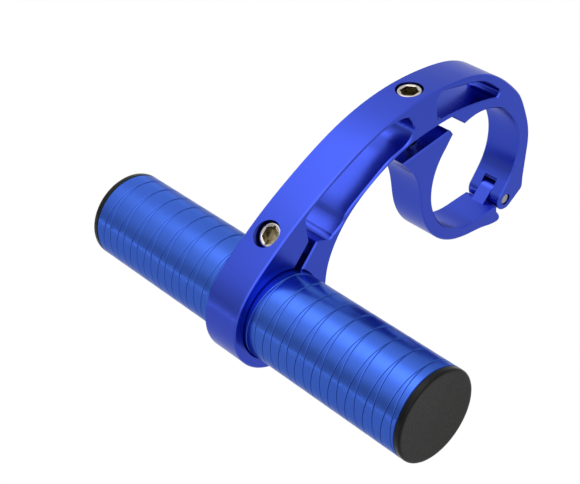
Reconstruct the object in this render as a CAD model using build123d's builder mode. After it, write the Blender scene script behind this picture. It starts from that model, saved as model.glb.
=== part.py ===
"""Handlebar extender: a milled arm that clamps on a handlebar and carries a short accessory tube.

X runs along the handlebar and the accessory tube, and +Z is up.
The origin is the centre of the handlebar bore, in the arm's mid-plane.
All lengths are in millimetres and all angles in degrees.
"""

import os
from math import acos, atan2, cos, degrees, hypot, radians, sin

from build123d import *

# Main sizes
bar_d = 31.8
tube_d = 22.2
reach = 66.4
arm_width = 10.4
clamp_wall = 4.0
ring_wall = 2.75
side_chamfer = 0.35

# Arch, its two windows and the slit beside the tube ring
arch_height = 15.0
top_flange = 1.8
floor_flange = 1.0
web_y = -16.0
web_width = 8.0
slit_width = 2.6
slit_angle = 40.0
slit_y = 10.2
slit_z = 11.5
boss_y = 11.3
ring_play = 0.05

# Hinge between the arm and the jaw
hinge_offset = 3.45
hinge_angle = -58.5
fork_angle = 38.0
pin_d = 3.0
pin_recess = 0.35
pin_edge = 0.25
pin_fit = 0.02
hinge_play = 0.06
knuckle_r = 3.1
knuckle_width = 3.8
knuckle_side_play = 0.1
knuckle_gap = 0.4
ear_wall = 1.5

# Jaw, drawn as it stands when it is closed round the bar
jaw_wall = 3.0
jaw_tip_angle = 127.0
lug_rise = 1.5
nose_round = 0.9
tail_round = 1.1
lug_reach = 7.9
jaw_open = 1.2
shoulder_round = 0.8
shoulder_gap = 0.25

# Socket-head screws
screw_d = 3.5
head_d = 6.0
head_height = 3.2
head_edge = 0.35
tip_edge = 0.4
socket_flats = 3.0
socket_depth = 1.8
shank_clearance = 0.2
thread_play = 0.05
head_clearance = 0.35

# Clamp screw, backed out until its tip is clear of the jaw
clamp_screw_y = -15.5
clamp_screw_lean = 5.0
clamp_tip_gap = 0.2
clamp_head_sink = 0.35
clamp_seat_depth = 6.9
jaw_thread_depth = 7.0

# Pinch screw, driven home across the slit
pinch_screw_y = 3.8
pinch_screw_z = 18.7
pinch_screw_length = 12.0
pinch_head_sink = 1.2

# Accessory tube and its end caps
tube_length = 101.0
tube_wall = 1.6
tube_shift = 0.6
tube_edge = 0.3
cap_flange = 1.5
cap_edge = 0.4
cap_spigot = 8.0
cap_wall = 1.5
cap_fit = 0.03

# Worked-out sizes
bar_r = bar_d / 2
tube_r = tube_d / 2
screw_r = screw_d / 2
pin_r = pin_d / 2
clamp_r = bar_r + clamp_wall
ring_r = tube_r + ring_wall
half_width = arm_width / 2
ear_r = pin_r + ear_wall
slot_width = knuckle_width + 2 * knuckle_side_play
arch_top = bar_r + arch_height
web_left = web_y - web_width / 2
web_right = web_y + web_width / 2
counterbore_r = head_d / 2 + head_clearance


def polar(radius, angle, centre=(0.0, 0.0)):
    """Point at a radius and an angle about a centre."""
    return (
        centre[0] + radius * cos(radians(angle)),
        centre[1] + radius * sin(radians(angle)),
    )


def along(start, direction, distance):
    """Point at a distance from a start along a unit direction."""
    return (start[0] + direction[0] * distance, start[1] + direction[1] * distance)


def from_tube(y, z):
    """Point given from the tube's axis."""
    return (y - reach, z)


def above_bar(y, rise):
    """Point at a height above the handlebar bore."""
    return (y, bar_r + rise)


def touching(centre, radius, point, side):
    """Angle at which a line from a point touches a circle, on one side of it."""
    y = point[0] - centre[0]
    z = point[1] - centre[1]
    return degrees(atan2(z, y) + side * acos(radius / hypot(y, z)))


tube_centre = from_tube(0, 0)
hinge = polar(bar_r + hinge_offset, hinge_angle)


def from_hinge(y, z):
    """Point given from the hinge's axis."""
    return (hinge[0] + y, hinge[1] + z)


# The pinch screw crosses the slit at a right angle
slit_centre = from_tube(slit_y, slit_z)
slit_way = polar(1, slit_angle)
pinch_rim = from_tube(pinch_screw_y, pinch_screw_z)
pinch_way = polar(1, slit_angle - 90)
pinch_seat_depth = pinch_head_sink + head_height
pinch_to_slit = sum(
    (slit - rim) * way for slit, rim, way in zip(slit_centre, pinch_rim, pinch_way)
)

# The clamp screw leans towards the bar
clamp_rim = above_bar(clamp_screw_y, arch_height - 0.2)
clamp_way = polar(1, -90 - clamp_screw_lean)
lug_drop = (clamp_rim[1] - bar_r - lug_rise) / -clamp_way[1]
clamp_screw_length = lug_drop - clamp_tip_gap - clamp_head_sink - head_height


def facing_out(rim, way, depth=0.0, x=0.0):
    """Plane across a screw's axis, at a depth below its rim, that faces out of the metal."""
    return Plane(
        origin=(x, *along(rim, way, depth)),
        x_dir=(1, 0, 0),
        z_dir=(0, -way[0], -way[1]),
    )


def arm_outline():
    """Outer wire of the arm: arch, clamp half, hinge ear, bore, underside and ring."""
    ring_top = polar(ring_r, 138, tube_centre)
    clamp_start = polar(clamp_r, 12)
    ear_side = from_hinge(7.1, 3.2)
    clamp_end_angle = touching((0, 0), clamp_r, ear_side, 1)
    ear_low = polar(ear_r, touching(hinge, ear_r, ear_corner, -1), hinge)
    bore_turn = hinge_angle + degrees(acos((bar_r + ear_r) / (bar_r + hinge_offset)))
    ear_inside = polar(ear_r, bore_turn + 180, hinge)
    nib = polar(bar_r, 101)
    gap_edge = above_bar(-7.2, 4.0)
    underside_end = polar(ring_r, -15, tube_centre)
    Spline(
        ring_top,
        from_tube(-0.4, ring_r + 2.55),
        from_tube(6.5, ring_r + 6.25),
        from_tube(17.0, ring_r + 10.75),
        above_bar(-reach / 2, arch_height - 1.25),
        above_bar(-20.5, arch_height),
        above_bar(-4.0, arch_height - 2.2),
        above_bar(7.8, arch_height - 7.4),
        polar(clamp_r + 1.6, 43.5),
        clamp_start,
        tangents=(polar(1, 48), polar(1, -78)),
    )
    CenterArc((0, 0), clamp_r, 12, clamp_end_angle - 12)
    Polyline(polar(clamp_r, clamp_end_angle), ear_side, ear_corner, ear_low)
    ThreePointArc(ear_low, polar(ear_r, 180, hinge), ear_inside)
    Line(ear_inside, polar(bar_r, bore_turn))
    CenterArc((0, 0), bar_r, bore_turn, 101 - bore_turn)
    Line(nib, gap_edge)
    Spline(
        gap_edge,
        above_bar(-14.0, 4.6),
        above_bar(-21.0, 4.6),
        above_bar(-reach / 2 - 1.8, 1.2),
        from_tube(21.4, 11.2),
        from_tube(16.0, 4.4),
        underside_end,
        tangents=(polar(1, 172), polar(1, -105)),
    )
    CenterArc(tube_centre, ring_r, -15, -207)


def arch_window():
    """Window between the arch and its thin floor, open to the slit at its left end."""
    ridge = from_tube(18.2, 10.3 + floor_flange)
    groove_end = from_tube(15.4, 10.5 + floor_flange)
    Spline(
        boss_corner,
        from_tube(15.6, ring_r + 10.65 - top_flange),
        from_tube(21.6, ring_r + 12.85 - top_flange),
        above_bar(-reach / 2 - 3.2, arch_height - 1.6 - top_flange),
        above_bar(web_left - 5.0, arch_height - 0.1 - top_flange),
        above_bar(web_left - 1.2, arch_height - 1.4 - top_flange),
        above_bar(web_left, arch_height - 5.6),
        above_bar(web_left - 1.4, 5.3 + floor_flange),
        above_bar(web_left - 7.0, 3.9 + floor_flange),
        above_bar(-reach / 2 - 1.8, 1.2 + floor_flange),
        from_tube(22.4, 12.9 + floor_flange),
        ridge,
        tangents=((0.8, 0.6), (-0.95, -0.3)),
    )
    ThreePointArc(ridge, from_tube(16.9, 9.8 + floor_flange), groove_end)
    Polyline(
        groove_end,
        from_tube(13.3, slit_z + 1.0),
        slit_centre,
        from_tube(boss_y, slit_z + 1.0),
        boss_corner,
    )


def clamp_window():
    """Kidney-shaped window over the fixed half of the clamp, before its corners are rounded."""
    upper_left = above_bar(web_right, arch_height - 1.9)
    lower_left = above_bar(web_right, 5.8)
    upper_right = above_bar(10.0, 1.9)
    lower_right = above_bar(8.6, 0.7)
    ThreePointArc(upper_left, above_bar(0.5, arch_height - 5.1), upper_right)
    Line(upper_right, lower_right)
    ThreePointArc(lower_right, above_bar(0.0, 3.6), lower_left)
    Line(lower_left, upper_left)


ear_corner = from_hinge(6.6, -0.1)
boss_corner = from_tube(boss_y, ring_r + 8.25 - top_flange)

# Arm: ring, arch, fixed clamp half and hinge fork, milled in one piece
with BuildPart() as arm:
    with BuildSketch(Plane.YZ.offset(-half_width)) as arm_profile:
        with BuildLine():
            arm_outline()
        make_face()
        with BuildLine():
            arch_window()
        make_face(mode=Mode.SUBTRACT)
        with BuildLine():
            clamp_window()
        make_face(mode=Mode.SUBTRACT)
        for corner, radius in (
            (above_bar(web_right, arch_height - 1.9), 2.6),
            (above_bar(web_right, 5.8), 1.6),
            (above_bar(10.0, 1.9), 0.7),
            (above_bar(8.6, 0.7), 0.7),
        ):
            fillet(arm_profile.vertices().sort_by_distance(Vector(*corner))[0], radius)
        with Locations(tube_centre):
            Circle(tube_r + ring_play, mode=Mode.SUBTRACT)
        with Locations(Location((*along(slit_centre, slit_way, 5.0), 0), (0, 0, slit_angle))):
            Rectangle(13, slit_width, align=(Align.MAX, Align.CENTER), mode=Mode.SUBTRACT)
        fillet(arm_profile.vertices().sort_by_distance(Vector(*ear_corner))[0], 1.6)
        fillet(arm_profile.vertices().sort_by_distance(Vector(*boss_corner))[0], 0.8)
    extrude(amount=arm_width)
    chamfer(arm.faces().filter_by(Axis.X).edges(), side_chamfer)

    # Fork slot for the jaw's knuckle
    with BuildSketch(Plane.YZ):
        slot_end = along(hinge, polar(1, fork_angle), knuckle_r + knuckle_gap)
        with Locations(Location((*slot_end, 0), (0, 0, fork_angle))):
            Rectangle(16, 14, align=(Align.MAX, Align.CENTER))
    extrude(amount=slot_width / 2, both=True, mode=Mode.SUBTRACT)

    # Hinge pin hole
    with BuildSketch(Plane.YZ):
        with Locations(hinge):
            Circle(pin_r + pin_fit)
    extrude(amount=half_width, both=True, mode=Mode.SUBTRACT)

    # Pinch screw: sunk head, shank hole down to the slit and thread beyond it
    with BuildSketch(facing_out(pinch_rim, pinch_way, pinch_seat_depth)):
        Circle(counterbore_r)
    extrude(amount=2 * pinch_seat_depth, mode=Mode.SUBTRACT)
    with BuildSketch(facing_out(pinch_rim, pinch_way, pinch_seat_depth)):
        Circle(screw_r + shank_clearance)
    extrude(amount=pinch_seat_depth - pinch_to_slit, mode=Mode.SUBTRACT)
    with BuildSketch(facing_out(pinch_rim, pinch_way, pinch_to_slit)):
        Circle(screw_r + thread_play)
    extrude(amount=-pinch_screw_length, mode=Mode.SUBTRACT)

    # Clamp screw: deep head pocket and a close guide hole for the shank
    with BuildSketch(facing_out(clamp_rim, clamp_way, clamp_seat_depth)):
        Circle(counterbore_r)
    extrude(amount=2 * clamp_seat_depth, mode=Mode.SUBTRACT)
    with BuildSketch(facing_out(clamp_rim, clamp_way, clamp_seat_depth)):
        Circle(screw_r + thread_play)
    extrude(amount=-clamp_screw_length, mode=Mode.SUBTRACT)
arm.part.label = "arm"

# Jaw: the swinging half of the clamp, turned open about the hinge
jaw_way = polar(1, jaw_open)
jaw_origin = (
    hinge[0] - hinge[0] * jaw_way[0] + hinge[1] * jaw_way[1],
    hinge[1] - hinge[0] * jaw_way[1] - hinge[1] * jaw_way[0],
)
jaw_plane = Plane(origin=(0, *jaw_origin), x_dir=(0, *jaw_way), z_dir=(1, 0, 0))


jaw_nose = above_bar(-7.6, lug_rise - 0.2)
jaw_tail = from_hinge(-1.9, -4.96)
jaw_hollow = from_hinge(-3.55, -1.75)


def jaw_outline():
    """Outer wire of the closed jaw: tip, lug, back, tail, shoulder and bore."""
    tip = polar(bar_r + 0.9, 113.3)
    lug_corner = above_bar(-(bar_r + lug_reach), lug_rise)
    ridge = (-(bar_r + lug_reach - 3.0), bar_r - 3.5)
    bore_end = polar(bar_r, -95)
    flat_way = polar(1, -5)
    flat_length = (hinge[0] - ear_r - shoulder_gap - bore_end[0]) / flat_way[0]
    shoulder = along(bore_end, flat_way, flat_length)
    Polyline(polar(bar_r, jaw_tip_angle), tip, jaw_nose, lug_corner, ridge)
    Spline(
        ridge,
        polar(bar_r + jaw_wall + 1.1, 166),
        polar(bar_r + jaw_wall + 0.55, 184),
        polar(bar_r + jaw_wall + 0.4, 216),
        polar(bar_r + jaw_wall + 0.1, 238),
        polar(bar_r + jaw_wall - 0.05, 256),
        from_hinge(-9.0, -3.4),
        from_hinge(-5.6, -4.7),
        jaw_tail,
    )
    Polyline(jaw_tail, jaw_hollow, shoulder, bore_end)
    CenterArc((0, 0), bar_r, -95, jaw_tip_angle - 265)


with BuildPart() as jaw:
    with BuildSketch(jaw_plane.offset(-half_width)) as jaw_profile:
        with BuildLine():
            jaw_outline()
        make_face()
        for corner, radius in (
            (from_hinge(-ear_r, 0.0), shoulder_round),
            (jaw_hollow, 1.0),
            (jaw_nose, nose_round),
            (jaw_tail, tail_round),
        ):
            fillet(jaw_profile.vertices().sort_by_distance(Vector(*corner))[0], radius)
    extrude(amount=arm_width)
    chamfer(jaw.faces().filter_by(Axis.X).edges(), side_chamfer)

    # Knuckle that sits in the fork
    with BuildSketch(jaw_plane):
        with Locations(hinge):
            Circle(knuckle_r)
        with Locations(from_hinge(-5.0, -1.4)):
            Circle(1.4)
        make_hull()
    extrude(amount=knuckle_width / 2, both=True)
    with BuildSketch(jaw_plane):
        with Locations(hinge):
            Circle(pin_r + hinge_play)
    extrude(amount=half_width, both=True, mode=Mode.SUBTRACT)

    # Thread in the lug, in line with the clamp screw once the jaw is closed
    thread_end = along(clamp_rim, clamp_way, lug_drop + jaw_thread_depth)
    end_origin = jaw_plane.from_local_coords(Vector(*thread_end, 0))
    thread_way = jaw_plane.origin - jaw_plane.from_local_coords(Vector(*clamp_way, 0))
    with BuildSketch(Plane(origin=end_origin, x_dir=(1, 0, 0), z_dir=thread_way)):
        Circle(screw_r + thread_play)
    extrude(amount=2 * jaw_thread_depth, mode=Mode.SUBTRACT)
jaw.part.label = "jaw"

# Hinge pin, its ends sunk a little in the ears
pin_length = arm_width - 2 * pin_recess
with BuildPart() as hinge_pin:
    with BuildSketch(Plane.YZ.offset(-pin_length / 2)):
        with Locations(hinge):
            Circle(pin_r)
    extrude(amount=pin_length)
    chamfer(hinge_pin.edges(), pin_edge)
hinge_pin.part.label = "hinge_pin"


def screw_profile(length):
    """Half-section of a socket-head screw, from its axis, with the head's top at the origin."""
    head_r = head_d / 2
    tip = -(head_height + length)
    Polyline(
        (0, 0),
        (head_r - head_edge, 0),
        (head_r, -head_edge),
        (head_r, -head_height),
        (screw_r, -head_height),
        (screw_r, tip + tip_edge),
        (screw_r - tip_edge, tip),
        (0, tip),
        close=True,
    )


# Clamp screw, backed out
clamp_head = facing_out(clamp_rim, clamp_way, clamp_head_sink)
with BuildPart() as clamp_screw:
    with BuildSketch(clamp_head.rotated((90, 0, 0))):
        with BuildLine():
            screw_profile(clamp_screw_length)
        make_face()
    revolve(axis=Axis(clamp_head.origin, clamp_head.z_dir))
    with BuildSketch(clamp_head):
        RegularPolygon(socket_flats / 2, 6, major_radius=False)
    extrude(amount=-socket_depth, mode=Mode.SUBTRACT)
clamp_screw.part.label = "clamp_screw"

# Pinch screw, its head on its seat
pinch_head = facing_out(pinch_rim, pinch_way, pinch_head_sink)
with BuildPart() as pinch_screw:
    with BuildSketch(pinch_head.rotated((90, 0, 0))):
        with BuildLine():
            screw_profile(pinch_screw_length)
        make_face()
    revolve(axis=Axis(pinch_head.origin, pinch_head.z_dir))
    with BuildSketch(pinch_head):
        RegularPolygon(socket_flats / 2, 6, major_radius=False)
    extrude(amount=-socket_depth, mode=Mode.SUBTRACT)
pinch_screw.part.label = "pinch_screw"

# Accessory tube through the ring
tube_end = tube_shift + tube_length / 2
with BuildPart() as extension_tube:
    with BuildSketch(Plane.YZ.offset(tube_end)):
        with Locations(tube_centre):
            Circle(tube_r)
            Circle(tube_r - tube_wall, mode=Mode.SUBTRACT)
    extrude(amount=-tube_length)
    chamfer(extension_tube.edges().filter_by(GeomType.CIRCLE).sort_by(SortBy.RADIUS)[-2:], tube_edge)
extension_tube.part.label = "extension_tube"

# Hollow push-in end caps
spigot_r = tube_r - tube_wall - cap_fit
with BuildPart() as end_cap_right:
    with BuildSketch(Plane.YZ.offset(tube_end)):
        with Locations(tube_centre):
            Circle(tube_r)
    extrude(amount=cap_flange)
    chamfer(end_cap_right.faces().sort_by(Axis.X)[-1].edges(), cap_edge)
    with BuildSketch(Plane.YZ.offset(tube_end)):
        with Locations(tube_centre):
            Circle(spigot_r)
            Circle(spigot_r - cap_wall, mode=Mode.SUBTRACT)
    extrude(amount=-cap_spigot)
end_cap_right.part.label = "end_cap_right"

with BuildPart() as end_cap_left:
    mirror(end_cap_right.part, about=Plane.YZ.offset(tube_shift))
end_cap_left.part.label = "end_cap_left"

os.makedirs("parts", exist_ok=True)
export_step(arm.part, "parts/arm.step")
export_step(jaw.part, "parts/jaw.step")
export_step(hinge_pin.part, "parts/hinge_pin.step")
export_step(clamp_screw.part, "parts/clamp_screw.step")
export_step(pinch_screw.part, "parts/pinch_screw.step")
export_step(extension_tube.part, "parts/extension_tube.step")
export_step(end_cap_left.part, "parts/end_cap_left.step")
export_step(end_cap_right.part, "parts/end_cap_right.step")
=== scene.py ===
"""Looks of the handlebar extender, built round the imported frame.

Lengths are in metres in the row frame, except where a comment gives millimetres.
"""

from math import atan2, cos, hypot, pi, radians, sin, sqrt

import bmesh
import bpy
from mathutils import Matrix, Vector


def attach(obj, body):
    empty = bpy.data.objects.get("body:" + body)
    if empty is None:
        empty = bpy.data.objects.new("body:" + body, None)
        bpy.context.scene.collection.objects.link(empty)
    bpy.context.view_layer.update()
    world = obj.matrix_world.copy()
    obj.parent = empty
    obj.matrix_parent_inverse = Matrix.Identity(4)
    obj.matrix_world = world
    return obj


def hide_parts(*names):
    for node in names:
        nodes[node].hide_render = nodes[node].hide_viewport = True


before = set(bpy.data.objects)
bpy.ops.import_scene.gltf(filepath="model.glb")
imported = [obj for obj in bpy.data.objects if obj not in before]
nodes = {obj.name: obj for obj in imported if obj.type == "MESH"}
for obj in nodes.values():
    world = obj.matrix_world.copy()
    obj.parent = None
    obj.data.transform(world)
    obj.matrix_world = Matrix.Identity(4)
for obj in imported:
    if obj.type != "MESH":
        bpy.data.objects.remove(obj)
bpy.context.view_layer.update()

MM = 0.001

# Tube and caps, as in the solids
REACH = 66.4 * MM
TUBE_R = 11.1 * MM
TUBE_WALL = 1.6 * MM
TUBE_LENGTH = 101.0 * MM
TUBE_SHIFT = 0.6 * MM
TUBE_EDGE = 0.3 * MM
CAP_FLANGE = 1.5 * MM
CAP_SPIGOT_R = 9.47 * MM
CAP_SPIGOT = 8.0 * MM
CAP_SPIGOT_WALL = 1.5 * MM
CAP_ROUND = 0.55 * MM

# Grooves: first place and pitch on each half and the places between, in millimetres along the tube
GROOVE_HALF = 0.17 * MM
GROOVE_DEPTH = 0.12 * MM
GROOVE_TURN = 76
RIGHT_GROOVES = (7.45, 5.16)
MIDDLE_GROOVES = (-3.22, 2.12)
LEFT_GROOVES = (-8.55, -5.31)
GROOVES_PER_HALF = 10
SHEET_ROWS = 90

# Socket-head screws, drawn head up with the head's top at zero
HEAD_R = 3.0 * MM
HEAD_HEIGHT = 3.2 * MM
HEAD_ROUND = 0.35 * MM
SCREW_R = 1.75 * MM
SCREW_SEGMENTS = 60
THREAD_PITCH = 0.6 * MM
THREAD_DEPTH = 0.3 * MM
KNURL_SCALE = 0.965
SOCKET_FLATS = 4.0 * MM
SOCKET_RIM_R = 2.42 * MM
SOCKET_CHAMFER = 0.18 * MM
SOCKET_DEPTH = 2.5 * MM
TIP_EDGE = 0.4 * MM
UNDERCUT = 0.6 * MM

# Each screw's head top in the mid-plane in millimetres, its lean in degrees and its length
CLAMP_SEAT = (-15.5305, 30.3513)
CLAMP_LEAN = -95
CLAMP_LENGTH = 9.601 * MM
PINCH_SEAT = (-61.8287, 17.7807)
PINCH_LEAN = -50
PINCH_LENGTH = 12.0 * MM

# Arc of the clamp window's ceiling in the mid-plane and the stretch that is lowered, in millimetres
CEILING_CENTRE = (-12.6144, 0.5861)
CEILING_RADIUS = 28.4206
CEILING_START = -11.6
CEILING_END = 5.0
CEILING_DROP = 0.75
CEILING_LOWEST = 20

# Finishes and light
ANODISED_RIM = (0.55, 0.60, 0.75, 1)
BLASTED_RIM = (0.72, 0.75, 0.86, 1)
BRIGHTEST = 5.0
NEAR_PANELS = (
    1.25, 1.02, 0.94, 1.10, 1.30, 1.52, 2.35, 3.20,
    3.00, 2.05, 1.62, 1.36, 0.93, 0.60, 0.60, 0.80,
)
FAR_PANELS = (
    1.90, 1.60, 1.38, 1.34, 1.25, 1.18, 1.14, 1.18,
    1.14, 1.10, 1.08, 1.00, 0.90, 0.72, 0.70, 0.85,
)
FLOOR_COLOUR = (0.40, 0.40, 0.40, 1)
FLOOR_GLOW = 0.29
FLOOR_SIZE = 20
FLOOR_LEVEL = -0.5
FILL_WAY = (0.6, -0.57, 0.57)
CAMERA_PLACE = (191.19 * MM, -197.81 * MM, 215.41 * MM)
CAMERA_TURN = (49.034, 7.487, 47.106)
CAMERA_LENS = 86.08


class Tree:
    """A material's node tree, with short calls for the nodes that the materials share."""

    def __init__(self, material):
        self.nodes = material.node_tree.nodes
        self.links = material.node_tree.links
        self.shader = self.nodes["Principled BSDF"]

    def plug(self, value, socket):
        if isinstance(value, bpy.types.NodeSocket):
            self.links.new(value, socket)
        else:
            socket.default_value = value

    def math(self, operation, a, b=0.0):
        node = self.nodes.new("ShaderNodeMath")
        node.operation = operation
        self.plug(a, node.inputs[0])
        self.plug(b, node.inputs[1])
        return node.outputs[0]

    def span(self, value, low, high, to_low=0.0, to_high=1.0):
        node = self.nodes.new("ShaderNodeMapRange")
        node.interpolation_type = "SMOOTHSTEP"
        self.plug(value, node.inputs["Value"])
        limits = {"From Min": low, "From Max": high, "To Min": to_low, "To Max": to_high}
        for name, number in limits.items():
            node.inputs[name].default_value = number
        return node.outputs[0]

    def mix(self, factor, a, b):
        node = self.nodes.new("ShaderNodeMix")
        node.data_type = "RGBA"
        self.plug(factor, node.inputs["Factor"])
        self.plug(a, node.inputs["A"])
        self.plug(b, node.inputs["B"])
        return node.outputs["Result"]

    def place(self):
        """Position in the row frame: every object sits at the origin."""
        return self.nodes.new("ShaderNodeTexCoord").outputs["Object"]

    def tube_radius(self):
        """Distance from the tube's axis."""
        y, z = self.parts(self.place())[1:3]
        y = self.math("ADD", y, REACH)
        square = self.math("ADD", self.math("MULTIPLY", y, y), self.math("MULTIPLY", z, z))
        return self.math("SQRT", square)

    def parts(self, vector):
        node = self.nodes.new("ShaderNodeSeparateXYZ")
        self.links.new(vector, node.inputs[0])
        return node.outputs

    def stretch(self, vector, scale):
        node = self.nodes.new("ShaderNodeMapping")
        node.inputs["Scale"].default_value = scale
        self.links.new(vector, node.inputs["Vector"])
        return node.outputs[0]

    def noise(self, vector, scale, detail=3.0, roughness=0.55):
        node = self.nodes.new("ShaderNodeTexNoise")
        self.links.new(vector, node.inputs["Vector"])
        node.inputs["Scale"].default_value = scale
        node.inputs["Detail"].default_value = detail
        node.inputs["Roughness"].default_value = roughness
        return node.outputs["Fac"]

    def bump(self, height, distance, strength):
        node = self.nodes.new("ShaderNodeBump")
        node.inputs["Distance"].default_value = distance
        node.inputs["Strength"].default_value = strength
        self.links.new(height, node.inputs["Height"])
        return node.outputs[0]

    def set(self, name, value):
        self.plug(value, self.shader.inputs[name])


def new_material(name):
    material = bpy.data.materials.new(name)
    material.use_nodes = True
    return material, Tree(material)


def arm_blue():
    """Bead-blasted, deep blue anodised aluminium."""
    material, t = new_material("anodised_deep_blue")
    place = t.place()
    grain = t.noise(place, 2600, 2.0, 0.6)
    cloud = t.noise(place, 45, 2.0, 0.5)
    t.set("Base Color", t.mix(cloud, (0.032, 0.056, 0.41, 1), (0.037, 0.065, 0.45, 1)))
    t.set("Metallic", 1.0)
    t.set("Specular Tint", BLASTED_RIM)
    t.set("Roughness", t.span(grain, 0.3, 0.7, 0.24, 0.27))
    t.set("Normal", t.bump(grain, 0.000001, 0.15))
    return material


def tube_blue():
    """Turned, azure anodised aluminium, with painted shade darkening it down in its grooves."""
    material, t = new_material("anodised_azure")
    place = t.place()
    land = t.span(t.tube_radius(), TUBE_R - GROOVE_DEPTH, TUBE_R - 0.08 * GROOVE_DEPTH)
    lathe = t.noise(t.stretch(place, (9000, 60, 60)), 1.0, 1.0)
    cloud = t.noise(place, 60, 2.0)
    plain = t.mix(cloud, (0.034, 0.092, 0.44, 1), (0.040, 0.104, 0.48, 1))
    # Base colour: painted shade in the grooves, darker than the lands
    t.set("Base Color", t.mix(land, (0.010, 0.030, 0.18, 1), plain))
    t.set("Metallic", 1.0)
    t.set("Specular Tint", ANODISED_RIM)
    depth = t.math("SUBTRACT", 1.0, land)
    polish = t.span(lathe, 0.3, 0.7, 0.20, 0.27)
    t.set("Roughness", t.math("ADD", polish, t.math("MULTIPLY", depth, 0.22)))
    t.set("Normal", t.bump(lathe, 0.000003, 0.3))
    return material


def stainless(name, dark, light):
    """Plain stainless steel with fine turning marks."""
    material, t = new_material(name)
    place = t.place()
    marks = t.noise(place, 3500, 2.0)
    t.set("Base Color", t.mix(marks, dark, light))
    t.set("Metallic", 1.0)
    t.set("Roughness", t.span(marks, 0.3, 0.7, 0.14, 0.26))
    t.set("Normal", t.bump(marks, 0.00001, 0.2))
    return material


def black_plastic():
    """Moulded matt black plastic, glossier round the rim, where painted shade also darkens it."""
    material, t = new_material("black_plastic")
    place = t.place()
    grain = t.noise(place, 1800, 3.0, 0.6)
    cloud = t.noise(place, 90, 2.0)
    edge = t.span(t.tube_radius(), TUBE_R - 0.9 * MM, TUBE_R - 0.4 * MM)
    matt = t.mix(cloud, (0.008, 0.008, 0.008, 1), (0.012, 0.012, 0.011, 1))
    # Near-black rim colour: painted shade on the cap's unlit side; the rim's lower roughness below is
    # real gloss
    t.set("Base Color", t.mix(edge, matt, (0.002, 0.002, 0.002, 1)))
    t.set("Specular IOR Level", 0.12)
    matt_face = t.span(grain, 0.3, 0.7, 0.40, 0.52)
    t.set("Roughness", t.math("SUBTRACT", matt_face, t.math("MULTIPLY", edge, 0.18)))
    t.set("Normal", t.bump(grain, 0.00002, 0.25))
    return material


def dress(material, *names):
    for name in names:
        nodes[name].data.materials.clear()
        nodes[name].data.materials.append(material)


# Ways to make a turned piece

def ring_of(b, segments, radius, height=0.0):
    """A ring of edges about Z."""
    bmesh.ops.create_circle(b, cap_ends=False, segments=segments, radius=radius)
    made = b.verts[-segments:]
    bmesh.ops.translate(b, verts=made, vec=(0, 0, height))
    return list({edge for vert in made for edge in vert.link_edges})


def trace(b, ring, start, profile):
    """Carries a ring of edges along a profile of radii and heights, and gives back the last ring."""
    radius, height = start
    for next_radius, next_height in profile:
        made = bmesh.ops.extrude_edge_only(b, edges=ring)["geom"]
        verts = [item for item in made if isinstance(item, bmesh.types.BMVert)]
        ring = [item for item in made if isinstance(item, bmesh.types.BMEdge)]
        scale = next_radius / radius
        bmesh.ops.scale(b, verts=verts, vec=(scale, scale, 1))
        bmesh.ops.translate(b, verts=verts, vec=(0, 0, next_height - height))
        radius, height = next_radius, next_height
    return ring


def rounded(radius, height, size, steps=4):
    """Profile of a quarter round that ends a side of one radius at one height."""
    turns = [0.5 * pi * step / steps for step in range(steps + 1)]
    return [(radius - size + size * cos(a), height - size + size * sin(a)) for a in turns]


def finish(b, name, material, sharp=30):
    """Turns the mesh into an object whose edges stay crisp above an angle."""
    bmesh.ops.remove_doubles(b, verts=b.verts, dist=0.002 * MM)
    bmesh.ops.recalc_face_normals(b, faces=b.faces)
    for face in b.faces:
        face.smooth = True
    mesh = bpy.data.meshes.new(name)
    b.to_mesh(mesh)
    b.free()
    mesh.set_sharp_from_angle(angle=radians(sharp))
    mesh.materials.append(material)
    piece = bpy.data.objects.new(name, mesh)
    bpy.context.scene.collection.objects.link(piece)
    return piece


# Arm with the lower ceiling of its clamp window

def keep_normals(mesh, source, spots):
    """Gives a merged copy the corner normals of its source, whose vertices now stand at the spots."""
    marks = mesh.attributes["came_from"].data
    normals = [Vector((0, 0, 0))] * len(mesh.loops)
    for face in mesh.polygons:
        corners = source.polygons[marks[face.index].value].loop_indices
        for here in face.loop_indices:
            spot = mesh.vertices[mesh.loops[here].vertex_index].co
            gaps = {there: (spots[source.loops[there].vertex_index] - spot).length for there in corners}
            near = min(gaps, key=gaps.get)
            normals[here] = source.corner_normals[near].vector.copy()
    mesh.attributes.remove(mesh.attributes["came_from"])
    mesh.normals_split_custom_set(normals)


def milled_arm():
    """The arm's own mesh, whose clamp window gets the flatter ceiling that hides its far rim."""
    source = nodes["arm"].data
    b = bmesh.new()
    b.from_mesh(source)
    came_from = b.faces.layers.int.new("came_from")
    for face in b.faces:
        face[came_from] = face.index
    for vert in b.verts:
        y, z = vert.co.y / MM, vert.co.z / MM
        reach = hypot(y - CEILING_CENTRE[0], z - CEILING_CENTRE[1]) - CEILING_RADIUS
        if CEILING_START < y < CEILING_END and z > CEILING_LOWEST and -0.1 < reach < 0.5:
            along = (y - CEILING_START) / (CEILING_END - CEILING_START)
            share = sin(pi * along) ** 2
            vert.co.z -= CEILING_DROP * share * MM
    spots = [vert.co.copy() for vert in b.verts]
    arm = finish(b, "milled_arm", deep_blue)
    keep_normals(arm.data, source, spots)
    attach(arm, "arm")
    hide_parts("arm")


# Socket-head screws

def knurl(b):
    """Fine straight knurl round the head's side."""
    for vert in b.verts:
        radius = vert.co.xy.length
        if radius < HEAD_R - 0.02 * MM or not -HEAD_HEIGHT < vert.co.z < -0.5 * MM:
            continue
        step = round(atan2(vert.co.y, vert.co.x) / (2 * pi) * SCREW_SEGMENTS)
        if step % 2:
            vert.co.xy *= KNURL_SCALE


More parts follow.
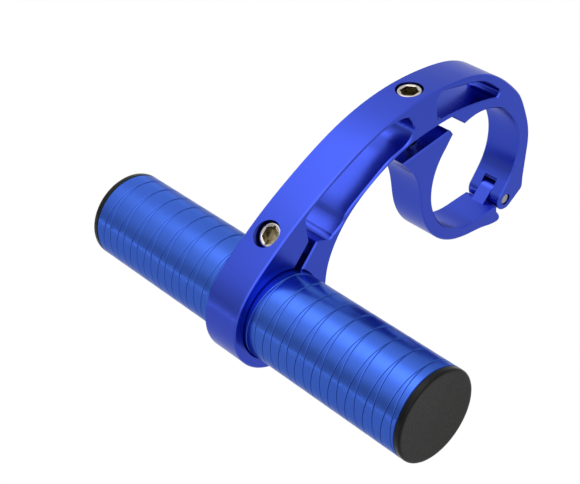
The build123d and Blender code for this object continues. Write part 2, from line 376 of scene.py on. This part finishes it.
def cut_thread(b, top, tip):
    """Helical thread between two heights of the shank."""
    for vert in b.verts:
        radius = vert.co.xy.length
        if not tip < vert.co.z < top or abs(radius - SCREW_R) > 0.001 * MM:
            continue
        turn = atan2(vert.co.y, vert.co.x) / (2 * pi) - vert.co.z / THREAD_PITCH
        depth = 1 - abs(2 * (turn % 1.0) - 1)
        scale = 1 - THREAD_DEPTH / SCREW_R * min(1.0, 1.25 * depth)
        vert.co.xy *= scale


def socket_screw(name, node, seat, lean, length):
    """Screw with its head's top at a place in the mid-plane, and its tip along a direction."""
    b = bmesh.new()
    ring = ring_of(b, SCREW_SEGMENTS, SOCKET_RIM_R)
    tip = -(HEAD_HEIGHT + length)
    row_height = THREAD_PITCH / 6
    rows = int((length - 2 * UNDERCUT) / row_height)
    outside = list(reversed(rounded(HEAD_R, 0.0, HEAD_ROUND)))
    outside += [(HEAD_R, -0.55 * MM), (HEAD_R, -HEAD_HEIGHT + 0.05 * MM)]
    outside += [(HEAD_R - 0.15 * MM, -HEAD_HEIGHT), (SCREW_R, -HEAD_HEIGHT)]
    outside += [(SCREW_R, -HEAD_HEIGHT - UNDERCUT - row * row_height) for row in range(rows + 1)]
    outside += [(SCREW_R, tip + TIP_EDGE), (SCREW_R - TIP_EDGE, tip)]
    end = trace(b, ring, (SOCKET_RIM_R, 0.0), outside)
    bmesh.ops.contextual_create(b, geom=end)

    # Hexagon socket: its chamfered rim, flats and drilled floor
    hexagon = ring_of(b, 6, SOCKET_FLATS / sqrt(3), -SOCKET_CHAMFER)
    cut = bmesh.ops.subdivide_edges(b, edges=hexagon, cuts=SCREW_SEGMENTS // 6 - 1)
    made = cut["geom_inner"] + cut["geom_split"]
    sides = [item for item in made if isinstance(item, bmesh.types.BMEdge)]
    hexagon = list(dict.fromkeys(sides + [edge for edge in hexagon if edge.is_valid]))
    bmesh.ops.bridge_loops(b, edges=ring + hexagon)
    inside = [(1.0, -SOCKET_DEPTH), (0.72, -SOCKET_DEPTH - 0.08 * MM)]
    inside += [(0.06, -SOCKET_DEPTH - 0.35 * MM)]
    floor = trace(b, hexagon, (1.0, -SOCKET_CHAMFER), inside)
    bmesh.ops.contextual_create(b, geom=floor)
    cut_thread(b, -HEAD_HEIGHT - 0.7 * MM, tip + 0.35 * MM)
    knurl(b)
    # Faces inside the hex socket take the second, darker material: painted shade in the recess
    for face in b.faces:
        middle = face.calc_center_median()
        in_socket = middle.xy.length < SOCKET_RIM_R and -HEAD_HEIGHT < middle.z < -0.15 * MM
        face.material_index = 1 if in_socket else 0

    up = -Vector((0, cos(radians(lean)), sin(radians(lean))))
    across = Vector((1, 0, 0))
    turn = Matrix((across, up.cross(across), up)).transposed().to_4x4()
    place = Matrix.Translation((0, seat[0] * MM, seat[1] * MM))
    bmesh.ops.transform(b, matrix=place @ turn, verts=b.verts)
    screw = finish(b, name, steel)
    screw.data.materials.append(socket_shade_steel)
    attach(screw, node)
    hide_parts(node)


# End caps

def end_cap(name, node, side):
    """Push-in cap: rounded edge, flat face and a hollow spigot inside the tube."""
    b = bmesh.new()
    bore = CAP_SPIGOT_R - CAP_SPIGOT_WALL
    ring = ring_of(b, 120, bore)
    outside = [(bore, -CAP_SPIGOT), (CAP_SPIGOT_R - 0.3 * MM, -CAP_SPIGOT)]
    outside += [(CAP_SPIGOT_R, -CAP_SPIGOT + 0.3 * MM), (CAP_SPIGOT_R, 0.0)]
    outside += [(TUBE_R - 0.12 * MM, 0.0), (TUBE_R, 0.12 * MM)]
    outside += rounded(TUBE_R, CAP_FLANGE, CAP_ROUND, 6)
    outside += [(TUBE_R - 1.1 * MM, CAP_FLANGE), (TUBE_R - 1.5 * MM, CAP_FLANGE - 0.04 * MM)]
    last = trace(b, ring, (bore, 0.0), outside)
    bmesh.ops.contextual_create(b, geom=last)
    bmesh.ops.contextual_create(b, geom=ring)
    turn = Matrix.Rotation(side * pi / 2, 4, "Y")
    place = Matrix.Translation((TUBE_SHIFT + side * TUBE_LENGTH / 2, -REACH, 0))
    bmesh.ops.transform(b, matrix=place @ turn, verts=b.verts)
    cap = finish(b, name, plastic)
    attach(cap, "tube")
    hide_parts(node)


# Accessory tube with its engraved grooves

def groove_starts():
    """Where the grooves cross the line on the tube that faces up and forward."""
    places = list(MIDDLE_GROOVES)
    for first, pitch in (RIGHT_GROOVES, LEFT_GROOVES):
        places += [first + pitch * turn for turn in range(GROOVES_PER_HALF)]
    return [MM * x for x in sorted(places)]


def crossed(face, start, lead):
    """Whether a slanted line over the sheet passes through one of its faces."""
    sides = [vert.co.x - start - lead * vert.co.y for vert in face.verts]
    return min(sides) < 0 < max(sides)


def engraved_tube():
    """Tube rolled up from a flat sheet, on which each groove of either hand is a straight line."""
    starts = groove_starts()
    low = TUBE_SHIFT - TUBE_LENGTH / 2 + TUBE_EDGE
    high = TUBE_SHIFT + TUBE_LENGTH / 2 - TUBE_EDGE
    b = bmesh.new()
    size = Matrix.Diagonal((high - low, 1, 1, 1))
    sheet = Matrix.Translation(((low + high) / 2, 0.5, 0)) @ size
    bmesh.ops.create_grid(b, x_segments=1, y_segments=SHEET_ROWS, size=0.5, matrix=sheet)
    lines = []
    for here, there in zip(starts, starts[1:]):
        lines.append((here, there - here))
        lines.append((there, here - there))
    for start, lead in lines:
        for offset in (-GROOVE_HALF, 0.0, GROOVE_HALF):
            spot = (start + offset, 0, 0)
            strip = [face for face in b.faces if crossed(face, start + offset, lead)]
            strip += list({edge for face in strip for edge in face.edges})
            bmesh.ops.bisect_plane(b, geom=strip, dist=0.000001, plane_co=spot, plane_no=(1, -lead, 0))
    for vert in b.verts:
        x, turn = vert.co.x, vert.co.y
        away = min(abs(x - start - lead * turn) for start, lead in lines)
        radius = TUBE_R - GROOVE_DEPTH * max(0.0, 1 - away / GROOVE_HALF)
        angle = radians(GROOVE_TURN) + 2 * pi * turn
        vert.co = (x, radius * cos(angle) - REACH, radius * sin(angle))
    bmesh.ops.remove_doubles(b, verts=b.verts, dist=0.001 * MM)

    # Broken edge, end face and bore
    ends = []
    for side in (low, high):
        end = side + TUBE_EDGE if side == high else side - TUBE_EDGE
        rims = [edge for edge in b.edges if edge.is_boundary]
        ring = [edge for edge in rims if abs(edge.verts[0].co.x - side) < 0.01 * MM]
        for radius in (TUBE_R - TUBE_EDGE, TUBE_R - TUBE_WALL):
            made = bmesh.ops.extrude_edge_only(b, edges=ring)["geom"]
            verts = [item for item in made if isinstance(item, bmesh.types.BMVert)]
            ring = [item for item in made if isinstance(item, bmesh.types.BMEdge)]
            for vert in verts:
                y, z = vert.co.y + REACH, vert.co.z
                scale = radius / hypot(y, z)
                vert.co = (end, y * scale - REACH, z * scale)
        ends += ring
    bmesh.ops.bridge_loops(b, edges=ends)
    tube = finish(b, "engraved_tube", azure, 20)
    smooth_lands(tube.data)
    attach(tube, "tube")
    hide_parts("extension_tube")


def smooth_lands(mesh):
    """Gives the surface between the grooves the normals of a true cylinder."""
    def out(index):
        spot = mesh.vertices[index].co
        return Vector((0, spot.y + REACH, spot.z))

    normals = [Vector((0, 0, 0))] * len(mesh.loops)
    for face in mesh.polygons:
        if all(abs(out(index).length - TUBE_R) < 0.002 * MM for index in face.vertices):
            for loop in face.loop_indices:
                normals[loop] = out(mesh.loops[loop].vertex_index).normalized()
    mesh.normals_split_custom_set(normals)


deep_blue = arm_blue()
azure = tube_blue()
steel = stainless("stainless", (0.36, 0.33, 0.29, 1), (0.46, 0.43, 0.39, 1))
# Darker, browner steel for the socket's walls and floor: painted shade in the recess
socket_shade_steel = stainless("socket_painted_shade_steel", (0.19, 0.17, 0.11, 1), (0.32, 0.28, 0.19, 1))
pin_steel = stainless("pin_steel", (0.24, 0.24, 0.22, 1), (0.32, 0.31, 0.28, 1))
plastic = black_plastic()
dress(deep_blue, "arm", "jaw")
dress(azure, "extension_tube")
dress(steel, "clamp_screw", "pinch_screw")
dress(pin_steel, "hinge_pin")
dress(plastic, "end_cap_left", "end_cap_right")

milled_arm()
engraved_tube()
end_cap("left_cap", "end_cap_left", -1)
end_cap("right_cap", "end_cap_right", 1)
socket_screw("clamp_socket_screw", "clamp_screw", CLAMP_SEAT, CLAMP_LEAN, CLAMP_LENGTH)
socket_screw("pinch_socket_screw", "pinch_screw", PINCH_SEAT, PINCH_LEAN, PINCH_LENGTH)


# Floor, light and camera

def make_floor():
    mesh = bpy.data.meshes.new("floor")
    b = bmesh.new()
    bmesh.ops.create_grid(b, x_segments=1, y_segments=1, size=FLOOR_SIZE)
    b.to_mesh(mesh)
    b.free()
    floor = bpy.data.objects.new("floor", mesh)
    floor.location = (0, 0, FLOOR_LEVEL)
    bpy.context.scene.collection.objects.link(floor)
    material = bpy.data.materials.new("pale_floor")
    material.use_nodes = True
    shader = material.node_tree.nodes["Principled BSDF"]
    shader.inputs["Base Color"].default_value = FLOOR_COLOUR
    shader.inputs["Roughness"].default_value = 1.0
    shader.inputs["Specular IOR Level"].default_value = 0.0
    shader.inputs["Emission Color"].default_value = (1, 1, 1, 1)
    shader.inputs["Emission Strength"].default_value = FLOOR_GLOW
    mesh.materials.append(material)


def make_studio():
    """Soft studio whose brightness changes with the angle round X, and a little along it."""
    world = bpy.data.worlds.new("studio")
    world.use_nodes = True
    tree = world.node_tree
    background = tree.nodes["Background"]
    way = tree.nodes.new("ShaderNodeTexCoord").outputs["Generated"]
    split = tree.nodes.new("ShaderNodeSeparateXYZ")
    tree.links.new(way, split.inputs[0])
    x, y, z = split.outputs[:3]

    def math(operation, a, b):
        node = tree.nodes.new("ShaderNodeMath")
        node.operation = operation
        for value, socket in ((a, node.inputs[0]), (b, node.inputs[1])):
            if isinstance(value, bpy.types.NodeSocket):
                tree.links.new(value, socket)
            else:
                socket.default_value = value
        return node.outputs[0]

    def span(value, low, high, to_low, to_high):
        node = tree.nodes.new("ShaderNodeMapRange")
        node.interpolation_type = "SMOOTHSTEP"
        tree.links.new(value, node.inputs["Value"])
        limits = {"From Min": low, "From Max": high, "To Min": to_low, "To Max": to_high}
        for name, number in limits.items():
            node.inputs[name].default_value = number
        return node.outputs[0]

    def panels(levels):
        """Brightness every 12 degrees, from the horizon behind the arch over the top to the front."""
        curve = tree.nodes.new("ShaderNodeFloatCurve")
        points = curve.mapping.curves[0].points
        places = [step / (len(levels) - 1) for step in range(len(levels))]
        points[0].location = (0.0, levels[0] / BRIGHTEST)
        points[1].location = (1.0, levels[-1] / BRIGHTEST)
        for place, level in list(zip(places, levels))[1:-1]:
            points.new(place, level / BRIGHTEST)
        curve.mapping.update()
        tree.links.new(math("DIVIDE", math("ARCTAN2", z, y), pi), curve.inputs["Value"])
        return math("MULTIPLY", curve.outputs[0], BRIGHTEST)

    def blend(share, a, b):
        rest = math("SUBTRACT", 1.0, share)
        return math("ADD", math("MULTIPLY", a, share), math("MULTIPLY", b, rest))

    near = panels(NEAR_PANELS)
    far = panels(FAR_PANELS)
    level = blend(span(x, -0.70, -0.58, 1.0, 0.0), far, near)
    level = blend(span(math("ABSOLUTE", x, 0.0), 0.80, 0.92, 0.0, 1.0), 1.0, level)
    ahead = tree.nodes.new("ShaderNodeVectorMath")
    ahead.operation = "DOT_PRODUCT"
    tree.links.new(way, ahead.inputs[0])
    ahead.inputs[1].default_value = Vector(FILL_WAY).normalized()
    fill = span(ahead.outputs["Value"], cos(radians(32)), cos(radians(12)), 0.0, 1.0)
    level = blend(span(z, -0.04, 0.0, 0.0, 1.0), math("ADD", level, fill), 1.0)
    tree.links.new(level, background.inputs["Strength"])
    background.inputs["Color"].default_value = (1, 1, 1, 1)
    bpy.context.scene.world = world


make_floor()
make_studio()

camera_data = bpy.data.cameras.new("camera")
camera_data.sensor_width = 36
camera_data.lens = CAMERA_LENS
camera_data.clip_start = 0.01
camera_data.clip_end = 20
camera = bpy.data.objects.new("camera", camera_data)
camera.location = CAMERA_PLACE
camera.rotation_euler = [radians(turn) for turn in CAMERA_TURN]
bpy.context.scene.collection.objects.link(camera)
bpy.context.scene.camera = camera
bpy.context.scene.view_settings.view_transform = "Standard"
